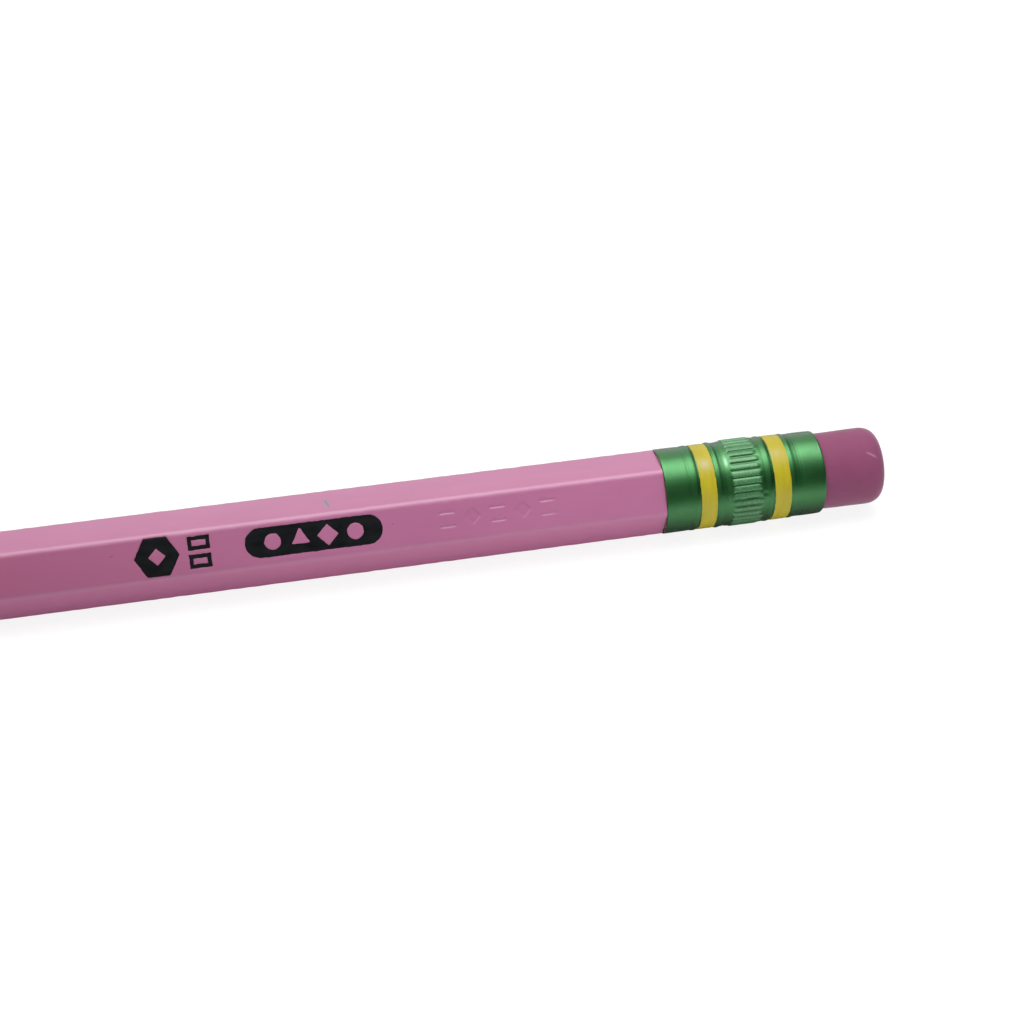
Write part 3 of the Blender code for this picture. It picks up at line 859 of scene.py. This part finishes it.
class Finish(Nodes):
    """A Principled material."""

    def __init__(self, name):
        self.material = bpy.data.materials.new(name)
        self.material.use_nodes = True
        super().__init__(self.material.node_tree)
        self.surface = self.tree.nodes["Principled BSDF"]
        self.place = self.add("TexCoord").outputs["Object"]

    def noise(self, x_mm, y_mm, z_mm, shift=(0.0, 0.0, 0.0), detail=3, roughness=0.5, distortion=0):
        """Noise whose grains are about this many millimetres long each way."""
        factor = (1 / (x_mm * MM), 1 / (y_mm * MM), 1 / (z_mm * MM))
        made = self.add(
            "TexNoise",
            Vector=self.vector("MULTIPLY", self.vector("ADD", self.place, shift), factor),
            Scale=1.0,
            Detail=detail,
            Roughness=roughness,
            Distortion=distortion,
        )
        return made.outputs["Fac"]

    def attribute(self, label):
        return self.add("Attribute", {"attribute_name": label}).outputs["Fac"]

    def mix(self, factor, first, second):
        settings = {"data_type": "RGBA"}
        made = self.add("Mix", settings, {0: factor, 6: first, 7: second})
        return made.outputs[2]

    def tint(self, colour, mask, strength, other):
        return self.mix(self.times(mask, strength), colour, other)

    def spot(self, centre, size_mm, ragged=0.35, slant=0.0, core=0.8):
        """1 inside an uneven ellipsoid round a point, 0 outside; a smaller core is softer.

        A slant leans the ellipsoid, x for each unit of y.
        """
        away = self.vector("SUBTRACT", self.place, centre)
        if slant:
            lean = self.times(self.part(away, "Y"), slant)
            shift = self.add("CombineXYZ", X=lean)
            away = self.vector("SUBTRACT", away, shift.outputs["Vector"])
        scaled = self.vector("MULTIPLY", away, tuple(1 / (size * MM) for size in size_mm))
        rough = self.remap(self.noise(0.2, 0.2, 0.2), 0.3, 0.7, -ragged, ragged)
        distance = self.math("ADD", self.vector("LENGTH", scaled), rough)
        return self.remap(distance, 1.1, core)

    def bump(self, height, depth_mm, normal=None):
        before = {} if normal is None else {"Normal": normal}
        made = self.add("Bump", Height=height, Distance=depth_mm * MM, **before)
        return made.outputs["Normal"]

    def set(self, **inputs):
        self.feed(self.surface, inputs)
        return self.material


def on_flat(setback_mm, up_mm, degrees):
    """A point on the coat's flat that faces this way, up_mm from its centre line."""
    facing = math.radians(degrees)
    x = FERRULE_FRONT - setback_mm * MM
    y = COAT_HALF * math.cos(facing) + up_mm * MM * math.sin(facing)
    z = COAT_HALF * math.sin(facing) - up_mm * MM * math.cos(facing)
    return (x, y, z)


def on_band(x_mm, degrees):
    """A point on the ferrule's bands, x_mm from its front edge, facing this way."""
    facing = math.radians(degrees)
    x = FERRULE_FRONT + x_mm * MM
    return (x, BAND_RADIUS * math.cos(facing), BAND_RADIUS * math.sin(facing))


def pink_lacquer():
    """Glossy pink coats: downward faces painted lighter and pinker as painted light, and towards
    the point the side faces painted darker and redder as painted shade, with duller gloss.
    """
    f = Finish("pink_lacquer")
    clouds = f.noise(7, 2.2, 2.2, detail=4)
    colour = f.mix(f.remap(clouds, 0.3, 0.7), (0.343, 0.105, 0.209), (0.363, 0.115, 0.223))
    rise = f.part(f.add("TexCoord").outputs["Normal"], "Z")
    # Painted shade: towards the point the printed flat, and less so the lower faces, are tinted
    # darker and redder
    shaded_dull_end = f.remap(f.part(f.place, "X"), *SHADED_DULL_SPAN)
    sides = f.times(f.remap(rise, 0.90, 0.60), f.remap(rise, -0.5, 0.3, 0.2, 1.0))
    colour = f.tint(colour, shaded_dull_end, sides, (0.312, 0.080, 0.162))
    # Painted light: faces that turn downwards are painted lighter and pinker, as if lit from below;
    # they also get less coat
    painted_light_below = f.remap(rise, 0.2, -0.35)
    colour = f.mix(painted_light_below, colour, (0.392, 0.116, 0.230))
    cut = f.remap(f.attribute("cut"), 0.02, 0.06)
    colour = f.mix(cut, colour, (0.50, 0.21, 0.33))
    colour = f.mix(f.remap(f.attribute("cut"), 0.50, 0.56), colour, (0.78, 0.70, 0.66))
    colour = lacquer_flaws(f, colour)
    smudge = f.noise(5, 2.5, 2.5, detail=5, roughness=0.65)
    scratch = f.noise(7, 0.07, 0.07, detail=2)
    gloss = f.remap(smudge, 0.3, 0.7, 0.08, 0.17)
    gloss = f.math("ADD", gloss, f.remap(scratch, 0.6, 0.8, 0.0, 0.06))
    gloss = f.math("ADD", gloss, f.times(shaded_dull_end, 0.10))
    gloss = f.math("ADD", gloss, f.times(cut, 0.35))
    polish = f.times(f.remap(shaded_dull_end, 0, 1, 0.90, 0.60), f.remap(painted_light_below, 0, 1, 1, 0.65))
    peel = f.noise(1.1, 0.6, 0.6, detail=2)
    normal = f.bump(scratch, 0.0005, f.bump(peel, 0.008))
    return f.set(
        Base_Color=colour,
        Roughness=0.42,
        Normal=normal,
        Coat_Weight=polish,
        Coat_Roughness=gloss,
        Coat_Normal=normal,
        Specular_IOR_Level=0.4,
    )


def lacquer_flaws(f, colour):
    """A grey scuff on the upper flat, and a fleck and a nib on the printed one."""
    scuff = f.spot(on_flat(29.9, -0.47, 90), (0.15, 0.72, 0.3), slant=-0.18)
    colour = f.tint(colour, scuff, 0.9, (0.075, 0.165, 0.160))
    fleck = f.spot(on_flat(48.75, 0.62, 150), (0.28, 0.07, 0.07))
    nib = f.spot(on_flat(24.5, 0.36, 150), (0.09, 0.09, 0.09))
    marks = f.math("MAXIMUM", fleck, nib)
    return f.tint(colour, marks, 0.6, (0.16, 0.06, 0.10))


def black_foil():
    """Hot stamped black pigment film, satin, with a fine crackle and thin patches."""
    f = Finish("black_foil")
    grain = f.noise(0.12, 0.12, 0.12, detail=5, roughness=0.7)
    patches = f.noise(1.6, 0.8, 0.8, detail=4)
    colour = f.mix(f.remap(patches, 0.35, 0.7), (0.0030, 0.0038, 0.0050), (0.0070, 0.0075, 0.0090))
    colour = f.tint(colour, f.remap(grain, 0.72, 0.80), 0.5, (0.12, 0.04, 0.08))
    rough = f.remap(patches, 0.3, 0.7, 0.26, 0.42)
    normal = f.bump(grain, 0.003)
    return f.set(Base_Color=colour, Roughness=rough, Normal=normal, Specular_IOR_Level=0.22)


def green_ferrule():
    """Green lacquered aluminium: rolling marks, worn bright crests, a painted highlight on the
    front shoulder, and grooves darkened by painted shade and pooled lacquer.
    """
    f = Finish("green_ferrule")
    cloud = f.noise(1.8, 1.8, 1.8, detail=4)
    colour = f.mix(f.remap(cloud, 0.3, 0.7), (0.0215, 0.148, 0.0335), (0.029, 0.177, 0.041))
    speckle = f.remap(f.noise(0.16, 0.16, 0.16, detail=4, roughness=0.7), 0.50, 0.72)
    # Worn crests, and the front shoulder's band that is partly painted highlight, turn paler and
    # rougher
    worn = f.times(f.attribute("proud"), speckle)
    colour = f.tint(colour, worn, 0.60, (0.20, 0.40, 0.23))
    # Painted highlight: a pale streak on the upper front shoulder, standing in for a bright
    # reflection
    painted_highlight_streak = f.spot(on_band(5.78, 117.5), (0.22, 0.75, 0.75), ragged=0.3, core=0.1)
    colour = f.tint(colour, painted_highlight_streak, 0.45, (0.34, 0.52, 0.37))
    pads = f.attribute("pad")
    colour = f.tint(colour, pads, f.remap(speckle, 0, 1, 0.25, 0.60), (0.15, 0.33, 0.17))
    # Painted shade, with pooled lacquer: sunk places, the grooves, score lines and knocks, are
    # tinted dark green
    colour = f.tint(colour, f.attribute("pooled_lacquer_and_shade"), 0.75, (0.006, 0.040, 0.010))
    rolled = f.noise(0.09, 2.5, 2.5, detail=3)
    smear = f.noise(2.4, 1.4, 1.4, detail=4, roughness=0.6)
    rough = f.remap(smear, 0.3, 0.7, 0.27, 0.40)
    rough = f.math("ADD", rough, f.times(worn, 0.10))
    normal = f.bump(f.noise(0.35, 0.35, 0.35, detail=3), 0.0050, f.bump(rolled, 0.0022))
    return f.set(
        Base_Color=colour,
        Metallic=f.remap(pads, 0.0, 1.0, 0.92, 0.60),
        Roughness=f.math("ADD", rough, f.times(pads, 0.12)),
        Normal=normal,
        Coat_Weight=0.75,
        Coat_IOR=1.5,
        Coat_Roughness=f.remap(smear, 0.3, 0.7, 0.09, 0.17),
        Coat_Normal=normal,
    )


def yellow_enamel():
    """Thick yellow enamel, glossy, with brush flow round the ring, a few specks and a painted
    highlight on each band.
    """
    f = Finish("yellow_enamel")
    flow = f.noise(0.35, 2.5, 2.5, detail=4)
    colour = f.mix(f.remap(flow, 0.3, 0.7), (0.335, 0.272, 0.006), (0.375, 0.311, 0.010))
    grime = f.remap(f.noise(0.5, 0.5, 0.5, detail=5, roughness=0.7), 0.60, 0.78)
    colour = f.tint(colour, grime, 0.35, (0.22, 0.17, 0.02))
    # Painted highlights: a pale spot on each band where the ferrule's bright reflection crosses it
    front_band_highlight = f.spot(on_band(3.85, 117.0), (0.55, 0.60, 0.75), ragged=0.25, core=0.1)
    rear_band_highlight = f.spot(on_band(10.55, 113.0), (0.35, 0.40, 0.45), ragged=0.25, core=0.1)
    sheen_patches = f.math("MAXIMUM", f.times(front_band_highlight, 0.9), f.times(rear_band_highlight, 0.6))
    colour = f.mix(sheen_patches, colour, (0.37, 0.33, 0.14))
    normal = f.bump(f.noise(0.3, 0.3, 0.3, detail=2), 0.004, f.bump(flow, 0.006))
    return f.set(
        Base_Color=colour,
        Roughness=f.remap(flow, 0.3, 0.7, 0.30, 0.42),
        Normal=normal,
        Coat_Weight=0.25,
        Coat_Roughness=0.2,
        Specular_IOR_Level=0.3,
        Coat_Normal=normal,
    )


def eraser_rubber():
    """Dusty pink rubber with mineral grain, soft smudges and a paler fresh crease."""
    f = Finish("eraser_rubber")
    cloud = f.noise(2.2, 2.2, 2.2, detail=4, roughness=0.6)
    grain = f.noise(0.10, 0.10, 0.10, detail=4, roughness=0.7)
    colour = f.mix(f.remap(cloud, 0.3, 0.7), (0.172, 0.035, 0.088), (0.199, 0.044, 0.104))
    colour = f.mix(f.remap(grain, 0.62, 0.80, 0, 0.30), colour, (0.34, 0.14, 0.23))
    colour = f.mix(f.remap(grain, 0.36, 0.24, 0, 0.25), colour, (0.09, 0.02, 0.05))
    colour = f.tint(colour, f.attribute("crease"), 0.40, (0.50, 0.26, 0.37))
    normal = f.bump(f.noise(0.8, 0.8, 0.8, detail=3), 0.014, f.bump(grain, 0.010))
    return f.set(
        Base_Color=colour,
        Roughness=f.remap(cloud, 0.3, 0.7, 0.62, 0.80),
        Normal=normal,
        Specular_IOR_Level=0.35,
        Sheen_Weight=0.35,
        Sheen_Roughness=0.4,
    )


def cedar(name, shift):
    """Cut incense cedar: growth bands along the pencil, short pores and blade marks."""
    f = Finish(name)
    bands = f.noise(60, 0.65, 0.35, shift, detail=2, distortion=0.15)
    fibre = f.noise(9, 0.09, 0.09, shift, detail=4, roughness=0.6)
    colour = f.mix(f.remap(bands, 0.32, 0.68), (0.66, 0.43, 0.25), (0.45, 0.24, 0.115))
    colour = f.mix(f.remap(fibre, 0.35, 0.75, 0.0, 0.65), colour, (0.74, 0.53, 0.34))
    pores = f.remap(f.noise(1.4, 0.05, 0.05, shift, detail=2), 0.66, 0.74)
    colour = f.tint(colour, pores, 0.6, (0.25, 0.12, 0.05))
    blade = f.noise(0.12, 1.6, 1.6, shift, detail=2)
    normal = f.bump(blade, 0.010, f.bump(fibre, 0.012))
    rough = f.remap(fibre, 0.3, 0.7, 0.55, 0.80)
    return f.set(Base_Color=colour, Roughness=rough, Normal=normal, Specular_IOR_Level=0.3)


def graphite():
    """Sharpened lead: grey, softly metallic, with fine rings left by the blade."""
    f = Finish("graphite")
    rings = f.noise(0.035, 0.7, 0.7, detail=3)
    clay = f.noise(0.12, 0.12, 0.12, detail=4, roughness=0.7)
    colour = f.mix(f.remap(clay, 0.3, 0.7), (0.050, 0.050, 0.055), (0.110, 0.110, 0.118))
    normal = f.bump(clay, 0.003, f.bump(rings, 0.004))
    rough = f.remap(rings, 0.3, 0.7, 0.30, 0.48)
    return f.set(Base_Color=colour, Metallic=0.45, Roughness=rough, Normal=normal)


def glue():
    """The thin dried glue line, amber and slightly glossy."""
    f = Finish("glue")
    cloud = f.noise(0.5, 0.12, 0.12, detail=4)
    colour = f.mix(f.remap(cloud, 0.3, 0.7), (0.47, 0.29, 0.15), (0.60, 0.41, 0.24))
    normal = f.bump(cloud, 0.010)
    rough = f.remap(cloud, 0.3, 0.7, 0.40, 0.60)
    return f.set(Base_Color=colour, Roughness=rough, Normal=normal)


# The light that the floor gives back to the pencil, between two places along X
FLOOR_SPAN = (FERRULE_FRONT - 100 * MM, FERRULE_FRONT - 30 * MM)
FLOOR_BOUNCE = (0.28, 0.56)


def floor_paint():
    """Matt white board, lit through from below as the camera sees it, so shadows stay faint.

    Glossy rays find it dimmer towards the horizon and straight below the pencil.
    """
    f = Finish("studio_floor")
    soft = f.noise(60, 60, 60, detail=2)
    colour = f.mix(f.remap(soft, 0.3, 0.7), (0.54, 0.54, 0.54), (0.56, 0.56, 0.56))
    rays = f.add("LightPath").outputs
    seen = rays["Is Camera Ray"]
    facing = f.add("LayerWeight", Blend=0.5).outputs["Facing"]
    mirrored = f.remap(facing, 1.0, 0.55, 0.14, 0.68)
    mirrored = f.times(mirrored, f.remap(facing, 0.42, 0.02, 1.0, 0.48))
    mirrored = f.add("CombineColor", None, {0: mirrored, 1: mirrored, 2: mirrored})
    colour = f.mix(rays["Is Glossy Ray"], colour, mirrored.outputs[0])
    bounce = f.remap(f.part(f.place, "X"), *FLOOR_SPAN, *FLOOR_BOUNCE)
    lit = f.times(rays["Is Diffuse Ray"], bounce)
    return f.set(
        Base_Color=f.mix(seen, colour, (0.16, 0.16, 0.16)),
        Roughness=0.9,
        Specular_IOR_Level=0.0,
        Emission_Color=(1.0, 1.0, 1.0),
        Emission_Strength=f.math("ADD", f.times(seen, 0.87), lit),
    )


# Stage

def studio_floor():
    mesh = bpy.data.meshes.new("studio_floor")
    half = 6.0
    z = cad_bounds[0].z
    corners = [(-half, -half, z), (half, -half, z), (half, half, z), (-half, half, z)]
    mesh.from_pydata(corners, [], [(0, 1, 2, 3)])
    mesh.materials.append(floor_paint())
    floor = bpy.data.objects.new("studio_floor", mesh)
    STAGE.link(floor)


# How bright the room is round the X axis: degrees from level at the viewer's side, over
# the top to level behind, and the radiance there.
ROOM_GLOW = (
    (0, 0.22), (20, 0.16), (40, 0.25), (52, 0.50), (62, 0.95), (73, 2.4),
    (85, 3.8), (98, 4.3), (112, 3.0), (127, 1.15), (145, 0.95), (180, 0.75),
)
# Each dimming: a direction's x where it starts and ends, and the light left at both
ROOM_DIMMINGS = ((0.31, 0.54, 1.0, 0.22), (-0.60, -0.97, 1.0, 0.12))


def studio_room():
    """A white backdrop for the camera, and a soft room that the pencil is lit by."""
    world = bpy.data.worlds.new("studio_room")
    world.use_nodes = True
    bpy.context.scene.world = world
    room = Nodes(world.node_tree)
    facing = room.add("TexCoord").outputs["Generated"]
    towards = room.times(room.part(facing, "Y"), -1.0)
    turn = room.math("ARCTAN2", room.part(facing, "Z"), towards)
    curve = room.add("ValToRGB", Fac=room.math("DIVIDE", turn, math.pi))
    stops = curve.color_ramp.elements
    while len(stops) < len(ROOM_GLOW):
        stops.new(0.5)
    brightest = max(glow for _, glow in ROOM_GLOW)
    for stop, (degrees, glow) in zip(stops, ROOM_GLOW):
        stop.position = degrees / 180
        stop.color = (glow / brightest, glow / brightest, glow / brightest, 1.0)
    east, west = (room.remap(room.part(facing, "X"), *ends) for ends in ROOM_DIMMINGS)
    strength = room.times(room.times(east, west), brightest)
    glow = room.tree.nodes["Background"]
    room.feed(glow, {"Color": curve.outputs["Color"], "Strength": strength})
    backdrop = room.add("Background", Color=(1.0, 1.0, 1.0))
    seen = room.add("LightPath").outputs["Is Camera Ray"]
    sides = {0: seen, 1: glow.outputs[0], 2: backdrop.outputs[0]}
    choice = room.add("MixShader", None, sides)
    room.feed(room.tree.nodes["World Output"], {"Surface": choice.outputs[0]})


# Small square lamps near the joint: name, place in mm from the joint, and radiance
FILLS = (("low_fill", (10, -75, 16), 2.7), ("high_fill", (10, -10, 85), 3.0))
FILL_SIZE = 40 * MM
FILL_COLOUR = (0.97, 0.99, 1.06)


def fill_lights():
    """Soft lamps that face the joint and brighten it without showing in its gloss."""
    for name, place, radiance in FILLS:
        away = Vector(place) * MM
        light = bpy.data.lights.new(name, "AREA")
        light.shape = "SQUARE"
        light.size = FILL_SIZE
        light.energy = radiance * FILL_SIZE**2 * math.pi
        light.color = FILL_COLOUR
        lamp = bpy.data.objects.new(name, light)
        lamp.location = JOINT + away
        lamp.rotation_euler = (-away).to_track_quat("-Z", "Y").to_euler()
        lamp.visible_glossy = False
        lamp.visible_camera = False
        STAGE.link(lamp)


CAMERA_FROM_JOINT = Vector((-36.85, -140.17, 92.55)) * MM
CAMERA_TURN = math.radians(-9.476)
CAMERA_DOWN = math.radians(33.128)
CAMERA_ROLL = math.radians(-2.09)
CAMERA_LENS = 66.35


def studio_camera():
    """The camera, placed from the joint between the barrel and the ferrule."""
    forward = Vector((
        math.sin(-CAMERA_TURN) * math.cos(CAMERA_DOWN),
        math.cos(CAMERA_TURN) * math.cos(CAMERA_DOWN),
        -math.sin(CAMERA_DOWN),
    ))
    right = forward.cross(Vector((0.0, 0.0, 1.0))).normalized()
    above = right.cross(forward)
    cosine, sine = math.cos(CAMERA_ROLL), math.sin(CAMERA_ROLL)
    axes = (cosine * right + sine * above, cosine * above - sine * right, -forward)
    placed = Matrix(axes).transposed().to_4x4()
    placed.translation = JOINT + CAMERA_FROM_JOINT
    data = bpy.data.cameras.new("camera")
    data.lens = CAMERA_LENS
    data.clip_start = 0.001
    camera = bpy.data.objects.new("camera", data)
    camera.matrix_world = placed
    STAGE.link(camera)
    bpy.context.scene.camera = camera


def build_pencil():
    designs = foil_designs()
    lacquer_coat(pink_lacquer(), designs)
    foil = black_foil()
    for node, outlines in designs.items():
        foil_film(node, outlines, foil)
    wood_slat("slat_upper", 1, cedar("cedar_upper", (0.0, 0.0, 0.0)))
    wood_slat("slat_lower", -1, cedar("cedar_lower", (0.05, 0.013, 0.027)))
    graphite_core(graphite())
    frame["nodes"]["glue_film"].material_slots[0].material = glue()
    ferrule(green_ferrule())
    enamel = yellow_enamel()
    enamel_band("enamel_band_front", enamel)
    enamel_band("enamel_band_rear", enamel)
    eraser_plug(eraser_rubber())


def build_studio():
    bpy.context.scene.view_settings.view_transform = "Standard"
    studio_floor()
    studio_room()
    fill_lights()
    studio_camera()


build_pencil()
build_studio()
bpy.context.view_layer.update()
